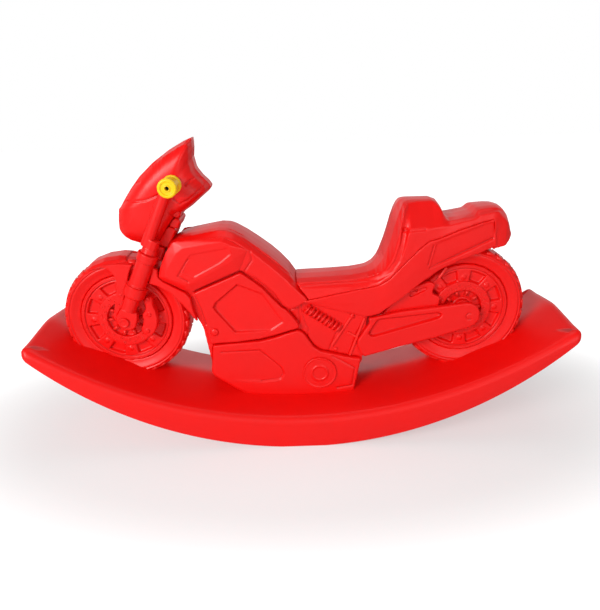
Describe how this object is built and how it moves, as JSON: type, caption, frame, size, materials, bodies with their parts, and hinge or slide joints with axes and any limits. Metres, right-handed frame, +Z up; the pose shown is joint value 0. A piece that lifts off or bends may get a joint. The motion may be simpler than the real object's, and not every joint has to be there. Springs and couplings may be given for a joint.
{
  "type": "rocking motorcycle",
  "caption": "Child's rocking motorcycle: a moulded motorcycle with seat, screen and turning hand grips, fixed on a curved rocker board.",
  "frame": {"origin": "on the floor, under the middle of the rocker board's length and width", "axes": "+X towards the tail, +Y away from the side that the picture shows, +Z up"},
  "size_m": [0.97, 0.236, 0.545],
  "materials": {
    "red_moulding": "satin-gloss moulded polyethylene",
    "yellow_moulding": "satin moulded polyethylene",
    "steel": "plain zinc-plated steel"
  },
  "bodies": {
    "root": {"rocker_board": "red_moulding", "belly_pan": "red_moulding", "engine_block": "red_moulding", "tank": "red_moulding", "seat": "red_moulding", "rear_cowl": "red_moulding", "front_wheel": "red_moulding", "front_tyre": "red_moulding", "rear_wheel": "red_moulding", "rear_tyre": "red_moulding", "front_fender": "red_moulding", "front_axle": "red_moulding", "head_tube": "red_moulding", "upper_clamp": "red_moulding", "lower_clamp": "red_moulding", "bar_riser": "red_moulding", "fairing": "red_moulding", "tank_scoop_left": "red_moulding", "tank_scoop_right": "red_moulding", "down_strut_left": "red_moulding", "down_strut_right": "red_moulding", "side_cowl_left": "red_moulding", "side_cowl_right": "red_moulding", "cowl_plug_left": "red_moulding", "cowl_plug_right": "red_moulding", "clutch_cover_left": "red_moulding", "clutch_cover_right": "red_moulding", "shock_spring_left": "red_moulding", "shock_spring_right": "red_moulding", "shock_link_left": "red_moulding", "shock_link_right": "red_moulding", "swing_arm_left": "red_moulding", "swing_arm_right": "red_moulding", "chain_guard_left": "red_moulding", "chain_guard_right": "red_moulding", "front_disc_left": "red_moulding", "front_disc_right": "red_moulding", "rear_disc_left": "red_moulding", "rear_disc_right": "red_moulding", "calliper_left": "red_moulding", "calliper_right": "red_moulding", "fork_leg_left": "red_moulding", "fork_leg_right": "red_moulding", "fork_shoe_left": "red_moulding", "fork_shoe_right": "red_moulding", "board_screw_1": "steel", "board_screw_2": "steel", "board_screw_3": "steel", "board_screw_4": "steel", "rear_axle": "steel", "handlebar_rod": "steel"},
    "grip_left": {"grip_left": "yellow_moulding"},
    "grip_right": {"grip_right": "yellow_moulding"}
  },
  "joints": [
    {"name": "grip_left_turn", "type": "hinge", "parent": "root", "child": "grip_left", "pos_m": [-0.20079, 0.09, 0.47687], "axis": [0, 1, 0], "continuous": true},
    {"name": "grip_right_turn", "type": "hinge", "parent": "root", "child": "grip_right", "pos_m": [-0.20079, -0.09, 0.47687], "axis": [0, 1, 0], "continuous": true}
  ]
}
